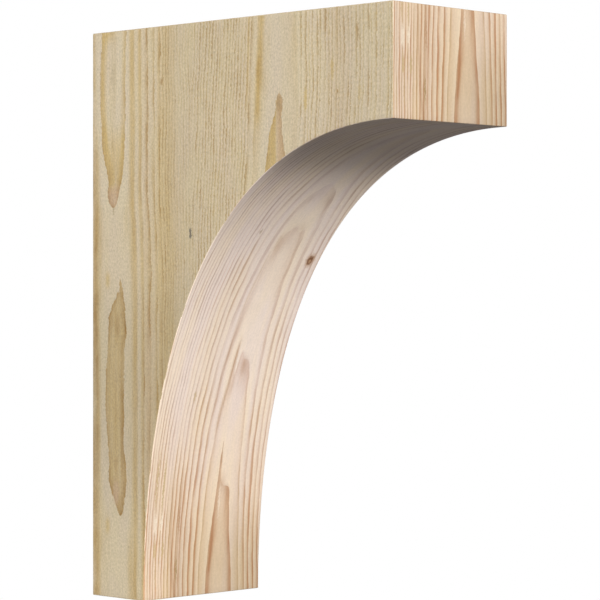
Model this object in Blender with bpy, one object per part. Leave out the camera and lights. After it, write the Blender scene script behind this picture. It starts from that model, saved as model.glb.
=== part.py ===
"""A timber corbel: one solid block, square at the nose, with a concave sweep down to a narrow foot.

The origin is the middle of the face that goes against the wall. +Z is up, +Y points into the wall,
the corbel stands out from the wall towards -Y, and its width runs along X. All sizes are in metres.
"""

import math

import bmesh
import bpy
from mathutils import Vector
from mathutils.geometry import interpolate_bezier

# The block
WIDTH = 0.140
PROJECTION = 0.358
HEIGHT = 0.496
NOSE_HEIGHT = 0.0926
FOOT_DEPTH = 0.067
ARRIS = 0.0008

# The sweep is one curve, upright at the foot and level at the nose. Each fullness is the length of
# the curve's handle at that end, as a share of the rise or of the reach of the sweep.
FOOT_FULLNESS = 0.49
NOSE_FULLNESS = 0.75
SWEEP_STEPS = 48

# Edges that turn more than this are corners, which are eased and drawn sharp
CORNER_ANGLE = math.radians(40)
ARRIS_SEGMENTS = 2

# Bare softwood, as sawn
WOOD_COLOUR = (0.61, 0.48, 0.31, 1.0)
WOOD_ROUGHNESS = 0.75


def clear_scene():
    """Start from an empty scene."""
    for item in list(bpy.data.objects):
        bpy.data.objects.remove(item, do_unlink=True)


def wood_material():
    """Unfinished softwood."""
    material = bpy.data.materials.new("wood")
    material.use_nodes = True
    shader = material.node_tree.nodes["Principled BSDF"]
    shader.inputs["Base Color"].default_value = WOOD_COLOUR
    shader.inputs["Roughness"].default_value = WOOD_ROUGHNESS
    shader.inputs["Metallic"].default_value = 0.0
    material.diffuse_color = WOOD_COLOUR
    return material


def side_point(depth, height):
    """A point on the side face, from its depth out of the wall and its height."""
    return Vector((-WIDTH / 2, -depth, height))


def sweep_points():
    """The concave underside, from the front of the foot up to the underside of the nose."""
    underside = HEIGHT / 2 - NOSE_HEIGHT
    rise = HEIGHT - NOSE_HEIGHT
    reach = PROJECTION - FOOT_DEPTH
    foot = side_point(FOOT_DEPTH, -HEIGHT / 2)
    foot_handle = side_point(FOOT_DEPTH, -HEIGHT / 2 + FOOT_FULLNESS * rise)
    nose_handle = side_point(PROJECTION - NOSE_FULLNESS * reach, underside)
    nose = side_point(PROJECTION, underside)
    return interpolate_bezier(foot, foot_handle, nose_handle, nose, SWEEP_STEPS + 1)


def corbel_profile():
    """The outline of the side face: up the sweep, round the nose, and down the wall."""
    nose_top = side_point(PROJECTION, HEIGHT / 2)
    wall_top = side_point(0, HEIGHT / 2)
    wall_bottom = side_point(0, -HEIGHT / 2)
    return sweep_points() + [nose_top, wall_top, wall_bottom]


def corbel_mesh():
    """The profile, extruded through the width of the block."""
    shape = bmesh.new()
    outline = [shape.verts.new(point) for point in corbel_profile()]
    side = shape.faces.new(outline)
    far_side = bmesh.ops.extrude_face_region(shape, geom=[side])["geom"]
    moved = [item for item in far_side if isinstance(item, bmesh.types.BMVert)]
    bmesh.ops.translate(shape, verts=moved, vec=(WIDTH, 0, 0))
    bmesh.ops.recalc_face_normals(shape, faces=shape.faces)
    mesh = bpy.data.meshes.new("corbel")
    shape.to_mesh(mesh)
    shape.free()
    mesh.shade_smooth()
    mesh.set_sharp_from_angle(angle=CORNER_ANGLE)
    return mesh


def build_corbel():
    """The corbel, with every corner eased by a small arris."""
    corbel = bpy.data.objects.new("corbel", corbel_mesh())
    bpy.context.scene.collection.objects.link(corbel)
    corbel.data.materials.append(wood_material())
    arris = corbel.modifiers.new("arris", "BEVEL")
    arris.width = ARRIS
    arris.segments = ARRIS_SEGMENTS
    arris.limit_method = "ANGLE"
    arris.angle_limit = CORNER_ANGLE
    return corbel


clear_scene()
build_corbel()
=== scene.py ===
"""The looks of a softwood corbel: its block and sweep, its grain, and the studio that it is seen in."""

import math

import bmesh
import bpy
import numpy as np
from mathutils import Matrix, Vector
from mathutils.geometry import interpolate_bezier


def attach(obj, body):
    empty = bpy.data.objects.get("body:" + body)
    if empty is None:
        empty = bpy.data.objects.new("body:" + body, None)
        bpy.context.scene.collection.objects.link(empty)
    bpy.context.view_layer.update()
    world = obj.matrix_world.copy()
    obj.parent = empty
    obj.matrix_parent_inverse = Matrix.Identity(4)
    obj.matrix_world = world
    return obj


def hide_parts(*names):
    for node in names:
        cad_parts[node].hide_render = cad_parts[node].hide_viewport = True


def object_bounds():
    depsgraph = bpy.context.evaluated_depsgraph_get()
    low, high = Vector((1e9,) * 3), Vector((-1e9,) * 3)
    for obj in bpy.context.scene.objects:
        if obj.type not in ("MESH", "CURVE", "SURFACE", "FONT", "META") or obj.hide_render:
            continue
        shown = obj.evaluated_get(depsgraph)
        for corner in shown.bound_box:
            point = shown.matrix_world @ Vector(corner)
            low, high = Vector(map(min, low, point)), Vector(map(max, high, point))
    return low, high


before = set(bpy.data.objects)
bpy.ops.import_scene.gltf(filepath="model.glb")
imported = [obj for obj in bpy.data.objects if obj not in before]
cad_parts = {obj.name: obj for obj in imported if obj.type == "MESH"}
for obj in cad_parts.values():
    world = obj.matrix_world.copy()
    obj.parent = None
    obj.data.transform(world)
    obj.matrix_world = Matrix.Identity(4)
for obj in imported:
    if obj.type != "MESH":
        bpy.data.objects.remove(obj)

bl_info = {
    "name": "Softwood corbel",
    "version": (1, 0, 0),
    "blender": (4, 5, 0),
    "location": "View3D > Sidebar > Corbel",
    "description": "Models a softwood corbel, lays its grain and sets up its studio",
    "category": "Add Mesh",
}

CAD_LOW, CAD_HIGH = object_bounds()
NODE = "corbel"
PIECE = "corbel_timber"

# Kinds of face, which are also the order of the piece's materials
SIDE, FRONT, END, BACK = range(4)

# In the grain map each face has its own stretch of wood, this far from the next, in metres
FACE_SPACING = 1.0
NEAR_PLOT, FAR_PLOT, FRONT_PLOT, BACK_PLOT, TOP_PLOT, BOTTOM_PLOT = range(6)

MM = 0.001

# A direction with more than this share of its length on an axis lies along it, and a cut this near to a
# vertex goes through it
SQUARE = 0.9999
WELD = 1e-6

# Edges that turn more than this are corners, and each gets an arris of so many faces
CORNER_ANGLE = math.radians(40)
ARRIS_SEGMENTS = 3

# The picture's width, which the focal length is given for, and the camera's sensor in millimetres
PICTURE_PIXELS = 600
SENSOR_WIDTH = 36.0


class TimberShape(bpy.types.PropertyGroup):
    """Sizes of the block, the nose and the sweep."""

    width: bpy.props.FloatProperty(
        name="Width", description="Across the nose", unit="LENGTH", default=CAD_HIGH.x - CAD_LOW.x
    )
    projection: bpy.props.FloatProperty(
        name="Projection", description="Out from the wall", unit="LENGTH", default=CAD_HIGH.y - CAD_LOW.y
    )
    height: bpy.props.FloatProperty(
        name="Height", description="Foot to top", unit="LENGTH", default=CAD_HIGH.z - CAD_LOW.z
    )
    nose_height: bpy.props.FloatProperty(
        name="Nose height", description="Height of the square nose", unit="LENGTH", default=0.0926
    )
    foot_depth: bpy.props.FloatProperty(
        name="Foot depth", description="Depth of the foot at the bottom", unit="LENGTH", default=0.067
    )
    foot_fullness: bpy.props.FloatProperty(
        name="Foot fullness", description="Share of the rise that the sweep starts upright", default=0.49
    )
    nose_fullness: bpy.props.FloatProperty(
        name="Nose fullness", description="Share of the reach that the sweep ends level", default=0.75
    )
    arris: bpy.props.FloatProperty(
        name="Arris", description="Width of the eased corners", unit="LENGTH", default=0.0008
    )
    sweep_rows: bpy.props.IntProperty(
        name="Sweep rows", description="Rows of faces along the sweep", default=96
    )
    across: bpy.props.FloatProperty(
        name="Across the grain", description="Width of a face of the mesh", unit="LENGTH", default=0.00125
    )
    along: bpy.props.FloatProperty(
        name="Along the grain", description="Length of a face of the mesh", unit="LENGTH", default=0.006
    )


class TimberColours(bpy.types.PropertyGroup):
    """Colours of the wood, as linear values."""

    cut_wood: bpy.props.FloatVectorProperty(
        name="Cut faces, tan", description="Body of the nose and the foot of the sweep", subtype="COLOR",
        default=(0.69, 0.528, 0.366),
    )
    cut_pale: bpy.props.FloatVectorProperty(
        name="Cut faces, pale", description="Body of the middle of the sweep", subtype="COLOR",
        default=(0.86, 0.73, 0.625),
    )
    side_wood: bpy.props.FloatVectorProperty(
        name="Sawn faces", description="Body of the sawn faces", subtype="COLOR",
        default=(0.625, 0.53, 0.375),
    )
    ochre: bpy.props.FloatVectorProperty(
        name="Ochre", description="Yellow bands in the figure", subtype="COLOR",
        default=(0.565, 0.412, 0.185),
    )
    brown: bpy.props.FloatVectorProperty(
        name="Brown", description="Resinous late wood and knots", subtype="COLOR",
        default=(0.42, 0.28, 0.13),
    )
    rust: bpy.props.FloatVectorProperty(
        name="Rust", description="Red-brown late wood on the cut faces", subtype="COLOR",
        default=(0.50, 0.30, 0.17),
    )
    pink: bpy.props.FloatVectorProperty(
        name="Pink", description="Pinkish patches", subtype="COLOR",
        default=(0.56, 0.40, 0.27),
    )
    end_wood: bpy.props.FloatVectorProperty(
        name="End grain", description="Body of the end grain", subtype="COLOR",
        default=(0.58, 0.43, 0.265),
    )


class StudioSettings(bpy.types.PropertyGroup):
    """The camera, the lights and the floor."""

    distance: bpy.props.FloatProperty(
        name="Distance", description="Camera to the middle of the block", unit="LENGTH", default=2.154
    )
    turn: bpy.props.FloatProperty(
        name="Turn", description="How far the camera stands round from the nose", subtype="ANGLE",
        default=math.radians(45.74),
    )
    aside: bpy.props.FloatProperty(
        name="Aside", description="Camera's shift to its right", unit="LENGTH", default=0.0062
    )
    eye_height: bpy.props.FloatProperty(
        name="Eye height", description="Camera above the middle of the block", unit="LENGTH", default=0.0126
    )
    focal_pixels: bpy.props.FloatProperty(
        name="Focal length", description="In pixels of a picture 600 pixels wide", default=2521.7
    )
    front_strength: bpy.props.FloatProperty(
        name="Front light", description="Strength of the soft light on the nose and the sweep", default=3.05
    )
    side_strength: bpy.props.FloatProperty(
        name="Side light", description="Strength of the soft light on the near side", default=2.7
    )
    back_strength: bpy.props.FloatProperty(
        name="Back light", description="Strength of the soft light behind", default=3.4
    )
    surround: bpy.props.FloatProperty(
        name="Surround", description="Brightness of the room's even light", default=0.167
    )
    floor_drop: bpy.props.FloatProperty(
        name="Floor drop", description="Floor below the foot", unit="LENGTH", default=0.3
    )


def select(piece, kind, test):
    """In edit mode, select only the vertices, edges or faces of the piece that pass a test."""
    bpy.ops.mesh.select_mode(type=kind)
    bpy.ops.mesh.select_all(action="DESELECT")
    shape = bmesh.from_edit_mesh(piece.data)
    items = {"VERT": shape.verts, "EDGE": shape.edges, "FACE": shape.faces}[kind]
    for item in items:
        if test(item):
            item.select_set(True)
    shape.select_flush_mode()
    bmesh.update_edit_mesh(piece.data, loop_triangles=False, destructive=False)


def runs_along(edge, axis):
    """Whether an edge lies along an axis, given by its letter."""
    span = edge.verts[1].co - edge.verts[0].co
    return abs(getattr(span, axis)) > SQUARE * span.length


def places_between(low, high, spacing):
    """Evenly spaced places inside a length, about a spacing apart."""
    count = max(2, round((high - low) / spacing))
    return [low + (high - low) * step / count for step in range(1, count)]


def sweep_line(shape):
    """The sweep's points from the foot to the nose, with X at 0."""
    top, bottom = shape.height / 2, -shape.height / 2
    underside = top - shape.nose_height
    rise = shape.height - shape.nose_height
    reach = shape.projection - shape.foot_depth
    foot = Vector((0, -shape.foot_depth, bottom))
    foot_handle = foot + Vector((0, 0, shape.foot_fullness * rise))
    nose = Vector((0, -shape.projection, underside))
    nose_handle = nose + Vector((0, shape.nose_fullness * reach, 0))
    return interpolate_bezier(foot, foot_handle, nose_handle, nose, shape.sweep_rows + 1)


def saw_block(shape):
    """The squared block, with its back on the wall."""
    bpy.ops.mesh.primitive_cube_add(
        size=1,
        location=(0, -shape.projection / 2, 0),
        scale=(shape.width, shape.projection, shape.height),
    )
    piece = bpy.context.object
    piece.name = PIECE
    piece.data.name = PIECE
    bpy.ops.object.transform_apply(location=True, rotation=True, scale=True)
    return piece


def cut_sweep(piece, shape):
    """Cut the front of the block in rows and push each row back to the sweep."""
    front = -shape.projection
    row_tolerance = 2e-5
    points = sweep_line(shape)
    for point in points[1:]:
        bpy.ops.mesh.select_all(action="SELECT")
        bpy.ops.mesh.bisect(plane_co=point, plane_no=(0, 0, 1), threshold=WELD)
    for point in points[:-1]:
        select(piece, "VERT", lambda vert: abs(vert.co.z - point.z) < row_tolerance
               and vert.co.y < front + row_tolerance)
        bpy.ops.transform.translate(value=(0, point.y - front, 0))

    # The cuts went round the whole block, so the sides, the back and the nose are made whole again
    select(piece, "FACE", lambda face: abs(face.normal.x) > SQUARE)
    bpy.ops.mesh.dissolve_faces()
    for place in (0, front):
        select(piece, "FACE", lambda face: abs(face.normal.y) > SQUARE
               and abs(face.calc_center_median().y - place) < row_tolerance)
        bpy.ops.mesh.dissolve_faces()


def ease_corners(shape):
    """A small arris along every corner."""
    bpy.ops.mesh.select_mode(type="EDGE")
    bpy.ops.mesh.select_all(action="DESELECT")
    bpy.ops.mesh.edges_select_sharp(sharpness=CORNER_ANGLE)
    bpy.ops.mesh.bevel(offset=shape.arris, segments=ARRIS_SEGMENTS, affect="EDGES")


def rule_rows(piece, shape, axis, length, limit, is_flat):
    """Divide a flat face in rows along an axis, where its edges measure from half a length to a limit."""
    rows = len(places_between(0, length, shape.along))
    select(piece, "EDGE", lambda edge: runs_along(edge, axis)
           and length / 2 < edge.calc_length() < limit
           and any(is_flat(face) for face in edge.link_faces))
    bpy.ops.mesh.subdivide(number_cuts=rows)


def rule_grid(piece, shape):
    """Divide the flat faces into a grid that is narrow across the grain and long along it."""

    def is_side(face):
        return abs(face.normal.x) > SQUARE

    def is_upright(face):
        return abs(face.normal.y) > SQUARE and face.calc_area() > shape.arris * shape.nose_height

    def is_level(face):
        return abs(face.normal.z) > SQUARE and face.calc_area() > shape.arris * shape.foot_depth

    for z in places_between(-shape.height / 2, shape.height / 2, shape.along):
        select(piece, "FACE", is_side)
        bpy.ops.mesh.bisect(plane_co=(0, 0, z), plane_no=(0, 0, 1), threshold=WELD)
    for y in places_between(-shape.projection, 0, shape.across):
        select(piece, "FACE", is_side)
        bpy.ops.mesh.bisect(plane_co=(0, y, 0), plane_no=(0, 1, 0), threshold=WELD)

    columns = len(places_between(0, shape.width, shape.across))
    select(piece, "EDGE", lambda edge: runs_along(edge, "x") and edge.calc_length() > shape.width / 2)
    bpy.ops.mesh.subdivide(number_cuts=columns)
    rule_rows(piece, shape, "z", shape.nose_height, shape.height / 2, is_upright)
    rule_rows(piece, shape, "z", shape.height, shape.height, is_upright)
    rule_rows(piece, shape, "y", shape.projection, shape.projection, is_level)
    rule_rows(piece, shape, "y", shape.foot_depth, shape.projection / 2, is_level)


def model_timber(shape):
    """The whole piece, closed, with its place in its mesh."""
    bpy.ops.object.select_all(action="DESELECT")
    piece = saw_block(shape)
    bpy.ops.object.mode_set(mode="EDIT")
    cut_sweep(piece, shape)
    ease_corners(shape)
    rule_grid(piece, shape)
    bpy.ops.object.mode_set(mode="OBJECT")
    bpy.ops.object.shade_smooth()
    return piece


def values_of(items, name, size, kind=np.float64):
    """A property of a mesh's items as an array, with a row of so many values for each item."""
    values = np.empty(len(items) * size, dtype=kind)
    items.foreach_get(name, values)
    return values.reshape(-1, size)


def open_edges(mesh):
    """How many edges of a mesh don't lie between exactly two faces."""
    corners = values_of(mesh.loops, "edge_index", 1, np.int32)[:, 0]
    faces_at_edge = np.bincount(corners, minlength=len(mesh.edges))
    return int(np.count_nonzero(faces_at_edge != 2))


def smooth(value, low, high):
    """0 below a range, 1 above it, and a smooth rise in it."""
    share = np.clip((value - low) / (high - low), 0, 1)
    return share * share * (3 - 2 * share)


def fall(value, low, high):
    """1 below a range, 0 above it, and a smooth fall in it."""
    return smooth(-value, -high, -low)


def stretch(value, start, full, fade, end):
    """1 over a stretch, with a smooth rise before it and a smooth fall after it."""
    return smooth(value, start, full) * fall(value, fade, end)


def hill(value, centre, width):
    """1 at a centre, falling to nothing in about twice a width."""
    return np.exp(-(((value - centre) / width) ** 2))


def patch(across, along, centre, size):
    """1 in the middle of an oval patch, falling to nothing in about twice its size."""
    return hill(np.hypot((across - centre[0]) / size[0], (along - centre[1]) / size[1]), 0, 1)


def follow(places, along):
    """A value drawn as (place, value) pairs, read at each place along the grain."""
    known, values = zip(*places)
    return np.interp(along, known, values)


def stripe(across, along, places, width):
    """1 on a line drawn along the grain, falling to nothing in about twice a width."""
    return hill(across, follow(places, along), width)


def wander(along, across, size, length, seed):
    """A slow sideways drift of the grain, up to about a size, that changes over a length."""
    turn = 2 * math.pi / length
    first = np.sin(along * turn + seed)
    second = 0.5 * np.sin(along * turn * 2.3 + seed * 2.7 + across * 0.02)
    third = 0.3 * np.sin(along * turn * 5.1 + seed * 1.3 + across * 0.05)
    return size * (first + second + third) / 1.8


def ring_number(distance, edges):
    """How many rings lie between the pith and a place: each edge is the sharp outside of a ring."""
    rings = np.zeros_like(distance)
    inner = None
    for edge in edges:
        outer = np.broadcast_to(edge, distance.shape)
        if inner is None:
            inner = outer - FLAME_MARGIN
        width = np.maximum(outer - inner, 0.1)
        rings += np.clip((distance - inner) / width, 0, 1)
        inner = outer
    return rings


# The figure, in millimetres: the width that the ring inside the first edge counts as, and the depth where
# the flames next to the wall end
FLAME_MARGIN = 12
NEAR_FLAMES_END = 80

# On the near side each pair is a distance below the top and the depth from the wall of a pith or an edge,
# how far a flame's edge lies from its pith, or how far the rings beyond the flames drift outwards
NEAR_PITH = ((0, 30), (135, 30), (152, 28), (223, 36), (250, 32), (395, 32), (425, 37), (496, 37))
FLAME_LEFT = (
    (0, 18), (50, 19.7), (70, 19.7), (100, 17.5), (113, 13.5), (130, 8), (147, 9), (151, 4), (154, -1),
    (165, -5), (212, -5), (223, 0), (232, 3), (240, 7), (250, 10), (270, 11.5), (300, 14), (330, 14.5),
    (360, 12), (380, 10.5), (397, 10), (408, 6), (418, 3), (425, 0), (440, -5), (496, -6),
)
FLAME_RIGHT = (
    (0, 15.7), (50, 14.4), (100, 12.2), (120, 11), (132, 9), (142, 6.8), (148, 5.3), (152, 2), (154, -1),
    (165, -5), (212, -5), (223, 0), (237, 4.5), (252, 9), (262, 10.5), (280, 6.8), (330, 6.2), (363, 6.2),
    (375, 9), (397, 9), (408, 5), (418, 1.5), (425, -3), (440, -8), (496, -9),
)
DRIFT = ((0, -1), (120, -0.5), (150, 0), (175, 1.5), (200, 2.8), (250, 3.3), (496, 3.3))
FAR_PITH = ((0, 232), (66, 232), (120, 228), (496, 228))
LOW_FLAME_LEFT = ((0, -8), (50, -4), (66, 0), (69, 3), (82, 3), (90, 6), (100, 8.5), (120, 10.5), (150, 14))
LOW_FLAME_RIGHT = ((0, -8), (50, -4), (66, 0), (69, 4), (84, 4), (100, 6), (110, 8), (120, 11), (150, 14))
OCHRE_EDGE = ((0, 208), (40, 205.5), (80, 203), (120, 201.5), (145, 199), (496, 190))

# The rings between the first flame and the middle of the side, by their depth from the wall and spacing
WIDE_RINGS = (55.5, 64.5, 73, 81.5, 89)
FINE_RING = 3.6
MIDDLE = 126

# How bright the near side is, by distance below the top and by depth: a painted shade, darkest from about
# 250 to 400 mm below the top. Then how stained it is by the wall and how deep that stain lies, by distance
# below the top
SIDE_SHADE = (
    (0, 1.0), (60, 1.0), (120, 0.97), (210, 0.95), (250, 0.86), (300, 0.82), (360, 0.82),
    (400, 0.87), (440, 0.93), (496, 0.95),
)
SIDE_SHADE_OUTWARD = (
    (0, 1.0), (85, 1.0), (100, 0.94), (180, 0.96), (205, 1.0), (235, 0.97), (270, 1.01), (300, 0.94),
    (358, 0.96),
)
WALL_STAIN = ((0, 0.0), (85, 0.1), (110, 0.6), (190, 0.85), (240, 0.95), (300, 0.8), (496, 0.75))
WALL_STAIN_DEPTH = ((0, 4), (240, 4.4), (320, 6.2), (496, 6.2))

# The figure of the nose and the sweep, against distance up the sweep. The pith lies so far across and so
# far below the face, the first arch's edge so far from the pith, and the rings around it so far apart.
FRONT_PITH = 89
FRONT_PITH_BELOW = ((0, 40), (110, 43.2), (225, 47.3), (347, 51.4), (398, 55.4), (560, 61))
FIRST_ARCH = 43.2
ARCH_RING = 4.1

# How far the arches on the sweep reach past an even shape on the right
RIGHT_SPREAD = (
    (60, 0), (95, 0.5), (122, 1.2), (150, 1.8), (190, 2.6), (250, 3.3), (300, 4.5), (350, 5.6), (400, 5),
    (430, 4),
)

# The limbs of the arches, as lines up the sweep or the nose. The dark ones have a width, an amount of brown
# and the rows that they show in.
FIRST_LEFT_LIMB = ((0, 72.5), (40, 78.5), (80, 82), (140, 84.5))
FIRST_RIGHT_LIMB = ((0, 103.5), (30, 101), (70, 98), (100, 94))
FAINT_LIMB = ((150, 60.5), (231, 61.5), (300, 66.4), (340, 68))
DARK_LIMBS = (
    (((150, 73), (165, 74.5), (190, 78), (231, 80)), 1.3, 0.8, (130, 160, 215, 238)),
    (((150, 63), (190, 66.5), (231, 69), (262, 70.5), (300, 73.6), (340, 75)), 1.2, 0.4,
     (150, 190, 300, 335)),
    (((302, 105.6), (322, 102.8), (335, 100), (346, 96)), 1.3, 0.25, (280, 300, 340, 352)),
)

# How bright the sweep is, by distance up it: a painted shade, with a painted shadow edge from about 395 to
# 432 mm up and darker beyond it, under the nose
FRONT_SHADE = (
    (0, 1), (120, 1), (180, 1), (270, 1.025), (310, 1.02), (350, 0.96), (375, 0.98), (395, 1.03),
    (412, 0.99), (432, 0.9), (560, 0.89),
)

# Inside these ring numbers lie the flames of the sawn faces, and the first arch of the cut ones
SAWN_FLAME = 1
CUT_FLAME = 4


def near_side_rings(depth, drop):
    """Ring number and line strength on the near side, from depth and distance below the top."""
    sway = wander(drop, depth, 0.7, 120, 0.4)
    pith = follow(NEAR_PITH, drop)
    left = ring_number(pith - depth, [follow(FLAME_LEFT, drop), pith - 0.5, pith + 12])
    drift = follow(DRIFT, drop) * np.clip((MIDDLE - depth) / 40, 0, 1)
    from_pith = depth - drift + sway - pith
    wide = [edge - pith for edge in WIDE_RINGS]
    fine = [edge - pith for edge in np.arange(WIDE_RINGS[-1] + FINE_RING, MIDDLE + 12, FINE_RING)]
    right = ring_number(from_pith, [follow(FLAME_RIGHT, drop)] + wide + fine)

    far_pith = follow(FAR_PITH, drop)
    ochre = far_pith - follow(OCHRE_EDGE, drop)
    fine = [ochre + 8 + FINE_RING * step for step in range(40)]
    inward = ring_number(far_pith - depth, [follow(LOW_FLAME_LEFT, drop), ochre] + fine)
    fine = [18 + 4.3 * step + 0.9 * math.sin(2.4 * step) for step in range(2, 32)]
    outward = ring_number(depth - far_pith, [follow(LOW_FLAME_RIGHT, drop), 19 + 0.05 * drop] + fine)

    rings = np.where(depth < pith, left, right)
    rings = np.where(depth > MIDDLE, inward, rings)
    rings = np.where(depth > far_pith, outward, rings)

    strength = 1 + 0.25 * stretch(depth, 68, 71, 86, 92) + 0.2 * smooth(depth, 128, 135)
    strength -= 0.8 * hill(depth, 75, 4.5) * smooth(drop, 262, 285) + 0.22 * smooth(depth, 236, 244)
    strength -= 0.45 * stretch(depth, 50, 53, 66, 68) + 0.4 * stretch(depth, 95, 102, 124, 128)
    in_flame = (depth - pith > -follow(FLAME_LEFT, drop)) & (depth - pith < follow(FLAME_RIGHT, drop))
    strength = np.where(in_flame & (depth < NEAR_FLAMES_END), 0.45, strength)
    faint = (depth > far_pith - 10) & (depth < far_pith + 24)
    strength = np.where(faint, strength * 0.4, strength)
    strength *= 1 - 0.5 * hill(depth, 204, 5)
    return rings, strength


def near_side_stains(depth, drop):
    """Brown, ochre and pink on the near side, in the flames and elsewhere, and its painted shade."""
    pith = follow(NEAR_PITH, drop)
    in_left = follow(FLAME_LEFT, drop) - (pith - depth)
    in_right = follow(FLAME_RIGHT, drop) - (depth - pith)
    edge = np.where(depth < pith, in_left, in_right)
    near = depth < NEAR_FLAMES_END
    upper = fall(drop, 160, 170)
    lens = stretch(drop, 205, 215, 430, 440) * near
    lens_rows = stretch(drop, 235, 265, 395, 425)
    low = smooth(depth, 190, 200)

    border = np.where(depth < pith, 0.30, 0.26) * hill(edge, 0, 2.4)
    brown = lens * (0.17 + border + 0.2 * hill(drop, 254, 12) + 0.45 * hill(drop, 406, 13))
    brown += upper * near * (0.26 * smooth(drop, 105, 125) + 0.12 * hill(edge, 0, 1.4))
    brown += low * (0.1 + 0.2 * hill(drop, 75, 8))
    rims = np.where(depth < pith, 0.9 * hill(edge, 3, 4.8), 0.6 * hill(edge, 2, 3.2))
    ochre = upper * near * fall(drop, 131, 141) * (rims + 0.55 * smooth(drop, 75, 105))
    ochre += 0.64 * lens + low * np.where(depth < 229, 1.0, 0.25)
    pink = upper * near * 1.2 * smooth(drop, 131, 141) + low * 0.9 * smooth(depth, 228, 231)
    inside = np.stack([brown, ochre, pink], axis=-1)

    wall = follow(WALL_STAIN, drop)
    wall_depth = follow(WALL_STAIN_DEPTH, drop)
    drift = follow(DRIFT, drop)
    brown = wall * hill(depth, wall_depth, 3) * (0.75 - 0.45 * smooth(drop, 340, 420))
    brown += 0.08 * hill(depth, 52.3 + drift, 3.2)
    ochre = wall * hill(depth, wall_depth + 1.5, 3.6) * 0.7 + 0.6 * hill(depth, 52.3 + drift, 3.2)
    ochre += 0.14 * stretch(depth, 46, 52, 206, 210) + 0.12 * hill(depth, 249, 5)
    ochre += 0.08 * hill(depth, 240, 6) + 0.04 * smooth(depth, 256, 262)
    ochre += 0.07 * fall(depth, 44, 48) * smooth(drop, 150, 165) + 0.16 * hill(depth, 47, 3) * lens_rows
    ochre += 0.16 * stretch(depth, 66, 72, 110, 125) * smooth(drop, 50, 180)
    ochre += 0.5 * hill(depth, 62.5 + drift, 2.2) + 0.3 * stretch(depth, 80, 88, 100, 112)
    ochre += 0.95 * hill(depth, follow(OCHRE_EDGE, drop) + 3.4, 3.2) * fall(drop, 70, 100)
    ochre += 0.6 * hill(depth, 197 - drop * 0.04, 1.2) * fall(drop, 70, 90)
    ochre += 0.4 * hill(depth, 49, 3) * smooth(drop, 420, 470)
    for centre, size in (((22, 0), (9, 7)), ((20, 218), (3, 5)), ((20, 433), (3, 6))):
        ochre += 0.8 * patch(depth, drop, centre, size)
    pink = 0.5 * hill(depth, 73.5, 6) * stretch(drop, 225, 250, 380, 420)
    pink += 0.25 * hill(depth, 70, 3) * fall(drop, 200, 230) + 0.22 * hill(depth, 298, 12)
    pink += 0.3 * hill(depth, 0, 2) * wall
    # Painted shade: darker mid-way down the side and in bands by depth, a little lighter near 165 mm from
    # the wall below 60 mm down
    shade = follow(SIDE_SHADE, drop) * follow(SIDE_SHADE_OUTWARD, depth)
    shade *= 1 + 0.04 * hill(depth, 165, 32) * smooth(drop, 50, 75)
    outside = np.stack([brown, ochre, pink], axis=-1)
    return inside, outside, shade


def far_side_rings(depth, drop):
    """Ring number and line strength on the far side: one wide flame, away from the wall."""
    pith = 118 + wander(drop, depth, 5, 420, 1.9)
    distance = np.hypot(depth - pith, 38 + drop * 0.05 + wander(drop, depth, 1.2, 170, 2.2))
    rings = (distance - 38) / 4.8 + 0.0008 * np.clip(distance - 60, 0, 120) ** 2
    return rings, 0.75 + 0.35 * hill(depth, 60, 25)


def far_side_stains(depth, drop):
    """Brown, ochre and pink on the far side, and how bright it is."""
    brown = 0.1 + 0.25 * smooth(drop, 50, 90)
    ochre = 0.75 - 0.3 * hill(depth, 118, 4)
    inside = np.stack([brown, ochre, 0 * depth], axis=-1)
    place = depth + wander(drop, depth, 3, 300, 0.7)
    brown = 0.55 * hill(depth, 4, 4) * smooth(drop, 150, 260)
    ochre = 0.3 * hill(depth, 10, 6)
    for centre, width, amount in ((58, 4, 0.6), (72, 3, 0.5), (178, 5, 0.6), (262, 8, 0.4)):
        ochre += amount * hill(place, centre, width)
    pink = 0.45 * hill(place, 88, 7) + 0.35 * hill(depth, 310, 18)
    return inside, np.stack([brown, ochre, pink], axis=-1), np.ones_like(depth)


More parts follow.
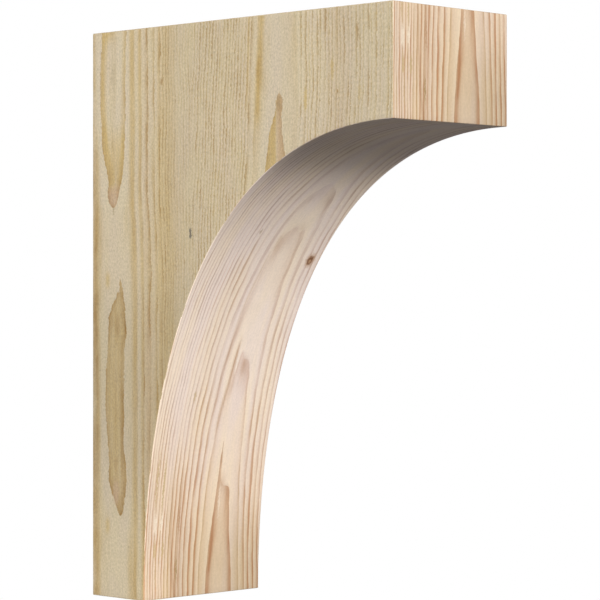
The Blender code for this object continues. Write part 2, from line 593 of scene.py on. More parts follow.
def front_rings(across, along):
    """Ring number and line strength on the nose and the sweep, which share one figure."""
    pith = FRONT_PITH + wander(along, across, 0.5, 260, 0.8)
    spread = follow(RIGHT_SPREAD, along) * smooth(across, 92, 106)
    distance = np.hypot(across - spread - pith, follow(FRONT_PITH_BELOW, along))
    rings = (distance - FIRST_ARCH) / ARCH_RING
    rings += 0.0021 * (np.clip(distance, 60, 85) - 60) ** 2 + 0.105 * np.clip(distance - 85, 0, None)
    first = fall(along, 120, 135)
    second = stretch(along, 130, 150, 240, 270)
    rings += first * (0.11 * hill(across, 90, 4.5) - 0.06 * hill(across, 97.8, 2.2))
    rings += second * 0.1 * hill(across, 90.5, 4.6)
    rings += second * 0.16 * hill(across, 82.6, 1.6) * smooth(along, 170, 190)
    rings -= follow(((80, 0), (100, 0.15), (140, 0.36), (147, 0)), along) * hill(across, 84, 1.5)
    rings -= follow(((190, 0), (231, 0.29), (240, 0)), along) * hill(across, 79.6, 1.6)
    rings -= 0.15 * hill(np.abs(across - 90), 12, 5) * stretch(along, 270, 300, 350, 385)
    rings += wander(along, across, 0.04, 60, 2.1)

    strength = 1 - 0.2 * fall(across, 40, 55) * smooth(along, 110, 160)
    strength *= 1 - 0.45 * hill(across, 88, 24) * smooth(along, 280, 350) - 0.08 * smooth(along, 400, 450)
    strength *= 1 - 0.2 * smooth(along, 180, 260) * smooth(across, 48, 60)
    strength *= 1 - 0.9 * hill(across, 89, 6.5) * fall(along, 110, 125)
    strength *= 1 - 0.9 * patch(across, along, (90, 312), (8, 24))
    strength *= 1 - 0.5 * hill(across, 90, 10) * smooth(along, 375, 390)
    strength *= 1 - 0.45 * stripe(across, along, FAINT_LIMB, 3) * smooth(along, 150, 180)
    strength *= 1 - 0.35 * hill(across, 115, 5) * smooth(along, 225, 260)
    strength *= 1 + 0.15 * fall(across, 40, 50) * fall(along, 60, 120)
    return rings + CUT_FLAME, strength


def front_stains(across, along, on_nose):
    """Brown, ochre and pale wood on the nose and the sweep, and their painted shade."""
    brown = 0.42 * stripe(across, along, FIRST_LEFT_LIMB, 2.2) * fall(along, 120, 150)
    brown += 0.26 * stripe(across, along, FIRST_RIGHT_LIMB, 2.8)
    brown += 0.16 * smooth(across, 86.5, 89) * stretch(along, 78, 96, 108, 120)
    ochre = 0.3 * stripe(across, along, FIRST_RIGHT_LIMB, 4)
    inside = np.stack([brown, ochre, 0 * brown], axis=-1)

    brown = 0.55 * stripe(across, along, ((0, 35.5), (30, 32), (60, 30), (120, 28)), 1.3)
    brown += 0.6 * stripe(across, along, ((0, 37), (40, 38.5), (120, 40)), 1.3) + 0.1 * hill(across, 34, 7)
    brown *= fall(along, 90, 120)
    for centre, size, amount in (((92.5, 204), (5, 8), 0.4), ((88, 100), (4, 6), 0.45),
                                 ((79.5, 324), (3, 13), 0.2), ((91, 344), (7, 5), 0.17)):
        brown += amount * patch(across, along, centre, size)
    for limb, width, amount, rows in DARK_LIMBS:
        brown += amount * stripe(across, along, limb, width) * stretch(along, *rows)
    ochre = 0.35 * fall(across, 8, 24) * fall(along, 100, 140)
    ochre += 0.4 * fall(along, 15, 100) * smooth(across, 20, 35) * (1 - 0.7 * hill(across, 89, 7))
    ochre += 0.2 * hill(across, 130, 18) * fall(along, 40, 110)
    ochre += 0.25 * hill(across, 50, 12) * stretch(along, 120, 160, 280, 330)
    pale = follow(((0, 0), (60, 0.15), (105, 0.45), (180, 0.9), (240, 1), (560, 1)), along)
    pale = np.where(on_nose, 0.08 + 0.1 * smooth(along, 40, 92), pale)
    pale += 0.15 * fall(across, 8, 25) * fall(along, 60, 140)
    outside = np.stack([brown, ochre, pale], axis=-1)

    # Painted shade: the nose darker towards its lower right, the sweep as FRONT_SHADE paints it, and near
    # the foot lighter on the left and darker towards the right
    darker = 0.12 * smooth(across, 12, 34) + 0.08 * smooth(across, 32, 44) + 0.05 * smooth(across, 62, 80)
    darker += 0.06 * smooth(across, 95, 110)
    on_sweep = follow(FRONT_SHADE, along) + fall(along, 10, 98) * (0.09 - darker)
    shade = np.where(on_nose, 0.97 - 0.2 * fall(along, 10, 92) * smooth(across, 20, 130), on_sweep)
    return inside, outside, shade


def back_rings(across, along):
    """Ring number and line strength on the face against the wall."""
    pith = 66 + wander(along, across, 4, 500, 0.3)
    rings = (np.hypot(across - pith, 34 + along * 0.045) - 34) / 4.6
    return rings, np.full_like(across, 0.9)


def back_stains(across, along):
    """Brown, ochre and pink on the back, and how bright it is."""
    inside = np.stack([0.15 + 0 * across, 0.7 + 0 * across, 0 * across], axis=-1)
    place = across + wander(along, across, 2.5, 260, 1.6)
    ochre = 0.6 * hill(place, 24, 4) + 0.55 * hill(place, 112, 4) + 0.3 * hill(across, 136, 6)
    brown = 0.3 * hill(across, 3, 3)
    pink = 0.4 * hill(place, 38, 6)
    return inside, np.stack([brown, ochre, pink], axis=-1), np.ones_like(across)


def end_rings(across, depth):
    """Ring number on the top and the foot: arcs round a pith just behind the wall face."""
    turn = np.arctan2(across - 92, depth + 34)
    rings = np.hypot(across - 92, depth + 34) / 5.2 + 0.25 * np.sin(7 * turn) + 0.1 * np.sin(19 * turn + 1)
    return rings, np.ones_like(across)


def rings_per_mm(figure, across, along):
    """How closely the rings lie, so that an edge wavers by the same distance wherever it is."""
    return np.abs(figure(across + 0.5, along)[0] - figure(across - 0.5, along)[0])


def no_stains(count):
    """Plain wood."""
    return np.zeros((count, 3)), np.zeros((count, 3)), np.ones(count)


def face_plots(mesh, shape):
    """Which plot of wood each face of the mesh shows."""
    x, y, z = values_of(mesh.polygons, "normal", 3).T
    heights = values_of(mesh.polygons, "center", 3)[:, 2]
    at_bottom = heights < -shape.height / 2 + 1.01 * shape.arris
    plots = np.full(len(heights), FRONT_PLOT)
    plots[(z < -np.abs(y)) & at_bottom] = BOTTOM_PLOT
    plots[z > np.abs(y)] = TOP_PLOT
    plots[y > np.abs(z)] = BACK_PLOT
    plots[x < -np.hypot(y, z)] = NEAR_PLOT
    plots[x > np.hypot(y, z)] = FAR_PLOT
    return plots


def sweep_distance(points, shape):
    """Distance along the sweep from the foot, or up the nose from its lower edge; and which it is."""
    line = np.array([point[1:] for point in sweep_line(shape)])
    lengths = np.concatenate([[0], np.cumsum(np.hypot(*np.diff(line, axis=0).T))])
    along = np.interp(points[:, 2] - points[:, 1], line[:, 1] - line[:, 0], lengths)
    underside = shape.height / 2 - shape.nose_height
    on_nose = points[:, 1] < -shape.projection + shape.arris * 0.99
    return np.where(on_nose, points[:, 2] - underside, along), on_nose


def lay_grain(piece, shape):
    """Give every corner of the mesh its place in the wood, its ring number, its stains and its painted
    shade.
    """
    mesh = piece.data
    plots = face_plots(mesh, shape)
    plot_of_corner = np.repeat(plots, values_of(mesh.polygons, "loop_total", 1, np.int32)[:, 0])
    vertex_of_corner = values_of(mesh.loops, "vertex_index", 1, np.int32)[:, 0]
    points = values_of(mesh.vertices, "co", 3)[vertex_of_corner]

    across = points[:, 0] + shape.width / 2
    depth = -points[:, 1]
    up = points[:, 2] + shape.height / 2
    swept, on_nose = sweep_distance(points, shape)
    wide, deep, tall, run = across / MM, depth / MM, up / MM, swept / MM
    drop = shape.height / MM - tall
    plain = no_stains(len(points))
    layouts = {
        NEAR_PLOT: (depth, up, near_side_rings, deep, drop, near_side_stains(deep, drop)),
        FAR_PLOT: (depth, up, far_side_rings, deep, drop, far_side_stains(deep, drop)),
        FRONT_PLOT: (across, swept, front_rings, wide, run, front_stains(wide, run, on_nose)),
        BACK_PLOT: (across, up, back_rings, wide, tall, back_stains(wide, tall)),
        TOP_PLOT: (across, depth, end_rings, wide, deep, plain),
        BOTTOM_PLOT: (across, depth, end_rings, wide + 8, deep + 3, plain),
    }
    grain = np.zeros((len(points), 2))
    rings = np.zeros((len(points), 2))
    inside = np.ones((len(points), 4))
    outside = np.ones((len(points), 4))
    for plot, (sideways, lengthways, figure, u, v, stains) in layouts.items():
        here = plot_of_corner == plot
        number, strength = figure(u, v)
        in_flames, elsewhere, shade = stains
        grain[here, 0] = sideways[here] + plot * FACE_SPACING
        grain[here, 1] = lengthways[here]
        rings[here, 0] = number[here]
        rings[here, 1] = strength[here]
        inside[here, :3] = in_flames[here]
        inside[here, 3] = rings_per_mm(figure, u, v)[here]
        outside[here, :3] = elsewhere[here]
        # The outside attribute's fourth number is the painted shade
        outside[here, 3] = shade[here]
    for name, values in (("grain", grain), ("rings", rings)):
        layer = mesh.uv_layers.new(name=name)
        layer.uv.foreach_set("vector", values.astype(np.float32).ravel())
    for name, values in (("inside", inside), ("outside", outside)):
        layer = mesh.color_attributes.new(name, "FLOAT_COLOR", "CORNER")
        layer.data.foreach_set("color", np.clip(values, 0, 2).astype(np.float32).ravel())

    material_of_plot = np.array([SIDE, SIDE, FRONT, BACK, END, END], dtype=np.int32)
    mesh.polygons.foreach_set("material_index", material_of_plot[plots])


# Small marks: place across and along, half width and half length in millimetres, colour and strength.
# Along is measured up from the foot on the sides, and up the sweep or the nose on the front.
SIDE_MARKS = (
    (126, 317, 1.4, 3.6, "ash", 1.6), (90, 448, 1.5, 2.5, "brown", 0.9), (28, 456, 3, 13, "grey", 0.35),
    (28, 338, 1.2, 3, "grey", 1), (232, 421, 2.6, 6, "brown", 0.6), (232, 421, 1.2, 2.8, "ash", 0.2),
    (298, 428, 0.9, 1.3, "brown", 1), (262, 424, 1.8, 9, "ochre", 0.9), (292, 446, 1.5, 9, "ochre", 0.7),
    (39, 128, 1.8, 20, "brown", 0.6), (33, 238, 3.4, 9, "brown", 0.5), (31, 116, 2.6, 7, "brown", 0.4),
    (31, 92, 4, 10, "pink", 0.6), (320, 473, 0.8, 9, "brown", 0.8), (285, 488, 0.9, 9, "brown", 0.7),
    (322, 426, 1.8, 7, "ochre", 0.4),
)
FRONT_MARKS = (
    (9.5, 103, 0.9, 24, "tan", 0.85), (17.8, 99, 0.9, 22, "tan", 0.9), (11, 66, 1.2, 8, "pale", 0.7),
    (18.5, 66, 1.2, 8, "pale", 0.7), (12, 43, 1.3, 8, "tan", 0.85), (21, 43, 1.3, 8, "tan", 0.85),
    (13, 22, 1, 12, "tan", 0.5), (37.6, 24, 0.9, 10, "brown", 1), (39, 68, 1, 11, "rust", 0.9),
    (128, 310, 4.8, 6.8, "rust", 0.8), (128, 310, 3.1, 4.2, "knot", 1), (128.3, 309, 1.3, 1.8, "rust", 0.8),
    (82.5, 214, 1.1, 12, "pale wood", 0.6), (86.2, 82, 1, 13, "pale", 0.45), (40, 178, 1.6, 5, "tan", 0.6),
    (49, 340, 1, 3, "brown", 0.5), (77, 329, 2.2, 9, "rust", 0.25),
)

# A mark fades out so many half widths from its middle, and its colour is one of the settings or of these
SPOT_REACH = 1.5
MARK_TINTS = {
    "pale": (0.88, 0.76, 0.60), "grey": (0.46, 0.37, 0.24), "ash": (0.22, 0.19, 0.14),
    "knot": (0.22, 0.10, 0.05), "tan": (0.56, 0.40, 0.21),
}


class Nodes:
    """A material, and short ways to add its nodes and wire them."""

    def __init__(self, name):
        self.material = bpy.data.materials.new(name)
        self.material.use_nodes = True
        self.tree = self.material.node_tree
        self.shader = self.tree.nodes["Principled BSDF"]

    def add(self, kind, inputs=None, **settings):
        """Add a node, set it up, and set or wire its inputs."""
        node = self.tree.nodes.new("ShaderNode" + kind)
        for name, value in settings.items():
            setattr(node, name, value)
        for name, value in (inputs or {}).items():
            self.put(node.inputs[name], value)
        return node

    def put(self, socket, value):
        """Wire a socket to another, or give it a value."""
        if isinstance(value, bpy.types.NodeSocket):
            self.tree.links.new(value, socket)
        else:
            socket.default_value = value

    def maths(self, operation, *values, clamp=False):
        """A sum of one, two or three values."""
        node = self.add("Math", dict(enumerate(values)), operation=operation, use_clamp=clamp)
        return node.outputs[0]

    def place_in_wood(self):
        """The piece's own map of where each face lies along and across the grain."""
        return self.add("UVMap", uv_map="grain").outputs["UV"]

    def rings(self):
        """The ring number and the strength of the rings' lines."""
        parts = self.add("SeparateXYZ", {"Vector": self.add("UVMap", uv_map="rings").outputs["UV"]})
        return parts.outputs["X"], parts.outputs["Y"]

    def in_ring(self, number):
        """How far through its ring a place lies, and a random value that the whole ring shares."""
        ring = self.maths("FLOOR", number)
        own = self.add("TexWhiteNoise", {"W": ring}, noise_dimensions="1D").outputs["Value"]
        return self.maths("FRACT", number), own

    def noise(self, place, stretch, detail=2.0, roughness=0.5, seed=0.0):
        """Noise from 0 to 1, with its waves per metre across and along the grain."""
        scaled = self.add("Mapping", {"Vector": place, "Scale": (*stretch, 1.0),
                                      "Location": (seed, seed, seed)})
        cloud = self.add("TexNoise", {"Vector": scaled.outputs[0], "Scale": 1.0, "Detail": detail,
                                      "Roughness": roughness})
        return cloud.outputs["Fac"]

    def ramp(self, value, stops):
        """A value drawn as (place, value) pairs."""
        node = self.add("ValToRGB", {"Fac": value})
        band = node.color_ramp
        while len(band.elements) < len(stops):
            band.elements.new(0.5)
        for element, (place, level) in zip(band.elements, stops):
            element.position = place
            element.color = (level, level, level, 1)
        return node.outputs["Color"]

    def between(self, value, low, high, to_low=0.0, to_high=1.0):
        """A value carried smoothly from one range to another."""
        node = self.add("MapRange", {"Value": value, "From Min": low, "From Max": high,
                                     "To Min": to_low, "To Max": to_high},
                        interpolation_type="SMOOTHSTEP")
        return node.outputs["Result"]

    def mix(self, share, first, second, blend="MIX"):
        """Two colours mixed."""
        node = self.add("Mix", data_type="RGBA", blend_type=blend)
        self.put(node.inputs["Factor"], share)
        for socket, value in ((node.inputs[6], first), (node.inputs[7], second)):
            colour = value if isinstance(value, bpy.types.NodeSocket) else (*value, 1.0)
            self.put(socket, colour)
        return node.outputs[2]

    def spot(self, place, centre, size):
        """1 in the middle of an oval spot on the grain map, 0 outside it."""
        moved = self.add("Mapping", {"Vector": place, "Location": (*centre, 0.0), "Scale": (*size, 1.0)},
                         vector_type="TEXTURE")
        length = self.add("VectorMath", {0: moved.outputs[0]}, operation="LENGTH")
        return self.between(length.outputs["Value"], 0.35, 1.0, 1.0, 0.0)

    def add_marks(self, colour, grain, plot, marks, colours):
        """Lay small marks over a colour, with their outlines a little ragged."""
        shake = self.add("TexNoise", {"Vector": grain, "Scale": 350.0, "Detail": 2.0})
        shift = self.add("VectorMath", {0: shake.outputs["Color"], 1: (0.5, 0.5, 0.5)}, operation="SUBTRACT")
        small = self.add("VectorMath", {0: shift.outputs["Vector"], "Scale": 0.004}, operation="SCALE")
        place = self.add("VectorMath", {0: grain, 1: small.outputs["Vector"]}, operation="ADD")
        place = place.outputs["Vector"]
        tints = {"brown": colours.brown, "ochre": colours.ochre, "pink": colours.pink,
                 "rust": colours.rust, "pale wood": colours.cut_pale, **MARK_TINTS}
        for across, along, half_width, half_length, tint, strength in marks:
            centre = (across * MM + plot * FACE_SPACING, along * MM)
            spot = self.spot(place, centre, (half_width * MM * SPOT_REACH, half_length * MM * SPOT_REACH))
            share = self.maths("MULTIPLY", spot, strength, clamp=True)
            colour = self.mix(share, colour, tints[tint])
        return colour

    def stains(self, name):
        """The three stain amounts and the fourth number of a colour attribute."""
        source = self.add("Attribute", attribute_name=name)
        parts = self.add("SeparateColor", {"Color": source.outputs["Color"]})
        return (*(parts.outputs[part] for part in ("Red", "Green", "Blue")), source.outputs["Alpha"])

    def scale_colour(self, colour, factor):
        """A colour made brighter or darker."""
        scaled = self.add("VectorMath", {0: colour, "Scale": factor}, operation="SCALE")
        return scaled.outputs["Vector"]

    def finish(self, colour, height, depth, roughness):
        """Wire the colour, the relief and the roughness to the shader."""
        self.put(self.shader.inputs["Base Color"], colour)
        self.put(self.shader.inputs["Roughness"], roughness)
        self.shader.inputs["Specular IOR Level"].default_value = 0.25
        bump = self.add("Bump", {"Height": height, "Strength": 1.0, "Distance": depth})
        self.put(self.shader.inputs["Normal"], bump.outputs["Normal"])
        return self.material


def mixed_stains(nodes, number, inside, flame_edge):
    """Brown, ochre and pink (or pale) amounts, cut off sharply at the flames' edges; and the painted shade.
    """
    within = nodes.maths("LESS_THAN", number, flame_edge)
    outside = nodes.stains("outside")
    amounts = [nodes.maths("MULTIPLY_ADD", inside[part], within, outside[part], clamp=True)
               for part in range(3)]
    return (*amounts, outside[3])


def wavering_rings(nodes, grain, number, pace, ragged, drift):
    """The ring number, its edges ragged and wavy: each is (size in mm, waves a metre across, and along)."""
    for seed, (amount, across, along) in enumerate((ragged, drift)):
        noise = nodes.noise(grain, (across, along), 3.0, 0.62, seed=2.0 * seed)
        shift = nodes.maths("MULTIPLY", nodes.maths("SUBTRACT", noise, 0.5), amount)
        number = nodes.maths("MULTIPLY_ADD", shift, pace, number)
    return number


def uneven_lines(nodes, late, own, strength, least, fade, fade_range):
    """The dark lines, each of its own strength, and fading here and there along its length."""
    share = nodes.maths("MULTIPLY_ADD", own, 0.4, least)
    share = nodes.maths("MULTIPLY", share, nodes.between(fade, 0.32, 0.68, *fade_range))
    return nodes.maths("MULTIPLY", late, nodes.maths("MULTIPLY", share, strength), clamp=True)


def draw_lines(nodes, body, late, lines):
    """The body colour, darkened to the lines' colour where the late wood is."""
    return nodes.mix(1.0, body, nodes.mix(late, (1.0, 1.0, 1.0), lines), "MULTIPLY")


def cut_finish(colours):
    """The nose and the sweep: cut smooth, from tan to pale, with red-brown lines."""
    nodes = Nodes("smooth cut softwood")
    grain = nodes.place_in_wood()
    number, strength = nodes.rings()
    inside = nodes.stains("inside")
    number = wavering_rings(nodes, grain, number, inside[3], (1.3, 420, 45), (4.5, 70, 11))
    phase, own = nodes.in_ring(number)
    width = nodes.maths("MULTIPLY", phase, nodes.maths("MULTIPLY_ADD", own, 0.26, 0.9), clamp=True)
    late = nodes.ramp(width, ((0.0, 0.5), (0.03, 0.0), (0.48, 0.0), (0.66, 0.20), (0.78, 0.65), (0.86, 1.0),
                              (1.0, 1.0)))
    young = nodes.ramp(phase, ((0.0, 0.0), (0.04, 1.0), (0.25, 0.6), (0.5, 0.0), (1.0, 0.0)))
    fade = nodes.noise(grain, (110, 16), 2.0, seed=3.0)
    late = uneven_lines(nodes, late, own, strength, 0.64, fade, (0.5, 1.35))

    brown, ochre, pale, shade = mixed_stains(nodes, number, inside, CUT_FLAME)
    body = nodes.mix(pale, colours.cut_wood, colours.cut_pale)
    body = nodes.mix(nodes.maths("MULTIPLY", ochre, 0.6), body, (0.68, 0.52, 0.31))
    body = nodes.mix(nodes.maths("MULTIPLY", young, 0.38), body, (0.88, 0.75, 0.58))
    warm = nodes.noise(grain, (55, 8), 2.0, seed=7.0)
    tint = nodes.mix(nodes.between(warm, 0.35, 0.65), (1.03, 1.0, 0.94), (0.99, 0.97, 1.0))
    body = nodes.mix(1.0, body, tint, "MULTIPLY")
    body = nodes.mix(brown, body, colours.rust)
    either = nodes.between(own, 0.3, 0.7)
    warm_lines = nodes.mix(either, (0.66, 0.52, 0.34), (0.72, 0.50, 0.37))
    pale_lines = nodes.mix(either, (0.77, 0.63, 0.57), (0.70, 0.64, 0.60))
    pale_lines = nodes.mix(ochre, pale_lines, (0.73, 0.59, 0.43))
    lines = nodes.mix(nodes.maths("MULTIPLY", pale, 0.8), warm_lines, pale_lines)
    colour = draw_lines(nodes, body, late, lines)
    colour = nodes.add_marks(colour, grain, FRONT_PLOT, FRONT_MARKS, colours)

    fibre = nodes.noise(grain, (1300, 60), 3.0, 0.6, seed=11.0)
    speck = nodes.noise(grain, (500, 420), 2.0, 0.6, seed=23.0)
    light = nodes.maths("ADD", nodes.between(fibre, 0.25, 0.75, 0.95, 1.05),
                        nodes.between(speck, 0.3, 0.7, -0.035, 0.035))
    # The painted shade darkens the colour here
    colour = nodes.scale_colour(colour, nodes.maths("MULTIPLY", light, shade))
    height = nodes.maths("MULTIPLY_ADD", late, 0.4, fibre)
    roughness = nodes.between(fibre, 0.2, 0.8, 0.62, 0.78)
    return nodes.finish(colour, height, 0.00005, roughness)


def sawn_finish(colours, name, plot, marks):
    """The sides and the back: rough from the saw, straw-coloured with ochre and brown figure."""
    nodes = Nodes(name)
    grain = nodes.place_in_wood()
    number, strength = nodes.rings()
    inside = nodes.stains("inside")
    number = wavering_rings(nodes, grain, number, inside[3], (3.6, 480, 260), (6.0, 60, 20))
    phase, own = nodes.in_ring(number)
    late = nodes.ramp(phase, ((0.0, 0.6), (0.04, 0.0), (0.40, 0.0), (0.62, 0.25), (0.84, 0.62), (0.93, 1.0),
                              (1.0, 0.95)))
    fade = nodes.noise(grain, (140, 26), 3.0, 0.6, seed=3.0)
    late = uneven_lines(nodes, late, own, strength, 0.6, fade, (0.3, 1.5))

    brown, ochre, pink, shade = mixed_stains(nodes, number, inside, SAWN_FLAME)
    streak = nodes.between(nodes.noise(grain, (380, 16), 3.0, 0.6, seed=9.0), 0.3, 0.7, 0.75, 1.2)
    mottle = nodes.between(nodes.noise(grain, (120, 60), 3.0, 0.65, seed=13.0), 0.35, 0.65, 0.6, 1.3)
    brown = nodes.maths("MULTIPLY", brown, mottle)
    warm = nodes.noise(grain, (60, 12), 3.0, 0.6, seed=5.0)
    body = nodes.mix(nodes.between(warm, 0.3, 0.7), (0.64, 0.535, 0.35), (0.615, 0.505, 0.38))
    body = nodes.mix(0.5, body, colours.side_wood)
    for amount, stain in ((pink, colours.pink), (ochre, colours.ochre), (brown, colours.brown)):
        body = nodes.mix(nodes.maths("MULTIPLY", amount, streak, clamp=True), body, stain)
    lines = nodes.mix(nodes.between(own, 0.35, 0.65), (0.75, 0.64, 0.43), (0.71, 0.60, 0.43))
    colour = draw_lines(nodes, body, late, lines)
    colour = nodes.add_marks(colour, grain, plot, marks, colours)

    fuzz = nodes.noise(grain, (620, 430), 2.0, 0.7, seed=17.0)
    fibre = nodes.noise(grain, (1000, 60), 2.0, 0.6, seed=11.0)
    pores = nodes.between(nodes.noise(grain, (750, 380), 1.0, 0.5, seed=31.0), 0.66, 0.78, 0.0, -0.22)
    light = nodes.maths("ADD", nodes.between(fuzz, 0.25, 0.75, -0.13, 0.13),
                        nodes.between(fibre, 0.25, 0.75, 0.94, 1.06))
    light = nodes.maths("ADD", light, pores)
    # The painted shade darkens the colour here
    colour = nodes.scale_colour(colour, nodes.maths("MULTIPLY", light, shade))
    height = nodes.maths("ADD", fuzz, nodes.maths("MULTIPLY", fibre, 0.6))
    roughness = nodes.between(fuzz, 0.3, 0.7, 0.78, 0.92)
    return nodes.finish(colour, height, 0.00025, roughness)


def end_finish(colours):
    """The top and the foot: end grain, darker, with arcs of rings and the saw's faint lines."""
    nodes = Nodes("end grain")
    grain = nodes.place_in_wood()
    number, _ = nodes.rings()
    ragged = nodes.noise(grain, (120, 120), 3.0)
    phase, own = nodes.in_ring(nodes.maths("MULTIPLY_ADD", ragged, 0.25, number))
    late = nodes.ramp(phase, ((0.0, 0.8), (0.06, 0.0), (0.45, 0.05), (0.72, 0.45), (0.9, 1.0), (1.0, 0.95)))
    late = nodes.maths("MULTIPLY", late, nodes.maths("MULTIPLY_ADD", own, 0.4, 0.6))
    patches = nodes.between(nodes.noise(grain, (14, 14), 3.0, seed=8.0), 0.3, 0.7)
    body = nodes.mix(nodes.maths("MULTIPLY", patches, 0.5), colours.end_wood, (0.52, 0.36, 0.21))
    colour = nodes.mix(nodes.maths("MULTIPLY", late, 0.75), body, (0.35, 0.21, 0.10))
    pores = nodes.noise(grain, (1500, 1500), 2.0, 0.7, seed=4.0)
    saw = nodes.noise(grain, (12, 520), 2.0, 0.6, seed=6.0)
    light = nodes.maths("ADD", nodes.between(pores, 0.3, 0.7, 0.9, 1.06),
                        nodes.between(saw, 0.3, 0.7, -0.04, 0.04))
    colour = nodes.scale_colour(colour, light)
    height = nodes.maths("ADD", pores, nodes.maths("MULTIPLY_ADD", late, 0.4, saw))
    return nodes.finish(colour, height, 0.0002, nodes.between(pores, 0.3, 0.7, 0.8, 0.95))


class CORBEL_OT_add_timber(bpy.types.Operator):
    """Model the corbel's block and sweep, and lay its grain"""

    bl_idname = "corbel.add_timber"
    bl_label = "Add timber"

    def execute(self, context):
        shape = context.scene.corbel_shape
        colours = context.scene.corbel_colours
        piece = model_timber(shape)
        if open_edges(piece.data):
            raise RuntimeError("the timber isn't closed")
        for material in (
            sawn_finish(colours, "sawn side", NEAR_PLOT, SIDE_MARKS),
            cut_finish(colours),
            end_finish(colours),
            sawn_finish(colours, "sawn back", BACK_PLOT, ()),
        ):
            piece.data.materials.append(material)
        lay_grain(piece, shape)
        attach(piece, "root")
        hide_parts(NODE)
        return {"FINISHED"}


def add_soft_light(name, direction, strength, angle):
    """A broad far-off light that shines from a direction."""
    light = bpy.data.lights.new(name, "SUN")
    light.energy = strength
    light.angle = angle
    lamp = bpy.data.objects.new(name, light)
    bpy.context.scene.collection.objects.link(lamp)
    lamp.location = direction.normalized() * 2
    lamp.rotation_euler = (-direction).to_track_quat("-Z", "Y").to_euler()


def add_camera(studio, middle):
    """The camera, level, at the height of the middle of the block."""
    camera = bpy.data.objects.new("camera", bpy.data.cameras.new("camera"))
    bpy.context.scene.collection.objects.link(camera)
    view = Vector((math.sin(studio.turn), math.cos(studio.turn), 0))
    right = Vector((view.y, -view.x, 0))
    camera.location = middle - view * studio.distance + right * studio.aside
    camera.location.z = middle.z + studio.eye_height
    camera.rotation_euler = (math.radians(90), 0, -studio.turn)
    camera.data.sensor_width = SENSOR_WIDTH
    camera.data.lens = studio.focal_pixels / PICTURE_PIXELS * SENSOR_WIDTH
    bpy.context.scene.camera = camera


def add_surround(studio):
    """An even room light, seen as plain white behind the object."""
    world = bpy.data.worlds.new("studio")
    bpy.context.scene.world = world
    world.use_nodes = True
    tree = world.node_tree
    even = tree.nodes["Background"]
    even.inputs["Color"].default_value = (0.93, 0.96, 1.0, 1.0)
    even.inputs["Strength"].default_value = studio.surround
    white = tree.nodes.new("ShaderNodeBackground")
    white.inputs["Color"].default_value = (1.0, 1.0, 1.0, 1.0)
    rays = tree.nodes.new("ShaderNodeLightPath")
    chosen = tree.nodes.new("ShaderNodeMixShader")
    tree.links.new(rays.outputs["Is Camera Ray"], chosen.inputs[0])
    tree.links.new(even.outputs[0], chosen.inputs[1])
    tree.links.new(white.outputs[0], chosen.inputs[2])
    tree.links.new(chosen.outputs[0], tree.nodes["World Output"].inputs["Surface"])


def add_floor(studio, foot):
    """A plain pale floor below the foot, which lends the wood no light."""
    bpy.ops.object.select_all(action="DESELECT")
    bpy.ops.mesh.primitive_plane_add(size=3.4, location=(0, 0, foot - studio.floor_drop))
    floor = bpy.context.object
    floor.name = "floor"
    bpy.ops.object.transform_apply(location=True, rotation=True, scale=True)
    nodes = Nodes("pale floor")
    place = nodes.add("TexCoord").outputs["Object"]
    mottle = nodes.noise(place, (3, 3), 3.0)
    nodes.put(nodes.shader.inputs["Base Color"], nodes.mix(mottle, (0.90, 0.90, 0.90), (0.94, 0.94, 0.94)))
    nodes.put(nodes.shader.inputs["Roughness"], nodes.between(mottle, 0.3, 0.7, 0.8, 0.95))
    nodes.shader.inputs["Emission Color"].default_value = (1.0, 1.0, 1.0, 1.0)
    nodes.shader.inputs["Emission Strength"].default_value = 0.8
    floor.data.materials.append(nodes.material)
    floor.visible_diffuse = False
    floor.visible_glossy = False


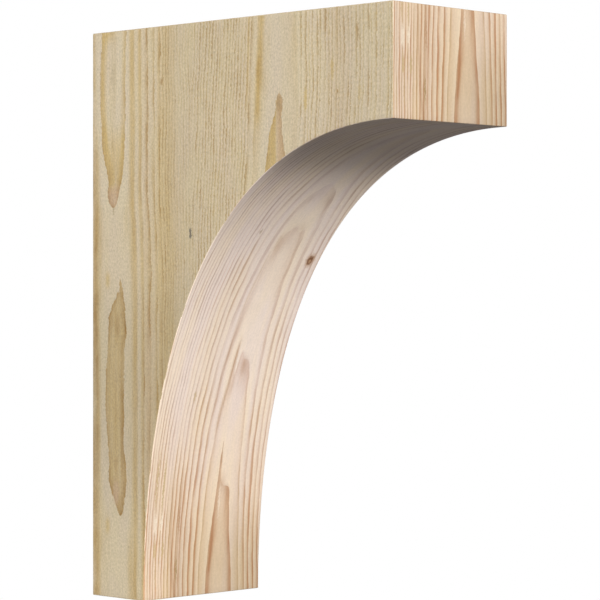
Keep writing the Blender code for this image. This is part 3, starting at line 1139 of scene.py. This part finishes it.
class CORBEL_OT_set_stage(bpy.types.Operator):
    """Put up the floor, the lights and the camera"""

    bl_idname = "corbel.set_stage"
    bl_label = "Set stage"

    def execute(self, context):
        studio = context.scene.corbel_studio
        middle = (CAD_LOW + CAD_HIGH) / 2
        add_camera(studio, middle)
        add_surround(studio)
        add_floor(studio, CAD_LOW.z)
        lights = (
            ("front light", (0, -1, math.tan(math.radians(15))), studio.front_strength, 12),
            ("side light", (-1, 0, math.tan(math.radians(9))), studio.side_strength, 12),
            ("back light", (0.8, 0.6, 0.5), studio.back_strength, 20),
        )
        for name, direction, strength, degrees_wide in lights:
            add_soft_light(name, Vector(direction), strength, math.radians(degrees_wide))
        context.scene.view_settings.view_transform = "Standard"
        context.scene.view_settings.look = "None"
        return {"FINISHED"}


class CORBEL_PT_panel(bpy.types.Panel):
    """The corbel's operators and settings."""

    bl_label = "Corbel"
    bl_idname = "CORBEL_PT_panel"
    bl_space_type = "VIEW_3D"
    bl_region_type = "UI"
    bl_category = "Corbel"

    def draw(self, context):
        layout = self.layout
        for operator in (CORBEL_OT_add_timber, CORBEL_OT_set_stage):
            layout.operator(operator.bl_idname)
        scene = context.scene
        for settings in (scene.corbel_shape, scene.corbel_colours, scene.corbel_studio):
            box = layout.box()
            for name in settings.__annotations__:
                box.prop(settings, name)


CLASSES = (
    TimberShape,
    TimberColours,
    StudioSettings,
    CORBEL_OT_add_timber,
    CORBEL_OT_set_stage,
    CORBEL_PT_panel,
)


def register():
    """Add the classes to Blender, and their settings to the scene."""
    for item in CLASSES:
        bpy.utils.register_class(item)
    bpy.types.Scene.corbel_shape = bpy.props.PointerProperty(type=TimberShape)
    bpy.types.Scene.corbel_colours = bpy.props.PointerProperty(type=TimberColours)
    bpy.types.Scene.corbel_studio = bpy.props.PointerProperty(type=StudioSettings)


def unregister():
    """Take the settings and the classes away again."""
    del bpy.types.Scene.corbel_studio
    del bpy.types.Scene.corbel_colours
    del bpy.types.Scene.corbel_shape
    for item in reversed(CLASSES):
        bpy.utils.unregister_class(item)


def main():
    """Build the corbel and its studio."""
    register()
    bpy.ops.corbel.add_timber()
    bpy.ops.corbel.set_stage()


if __name__ == "__main__":
    main()
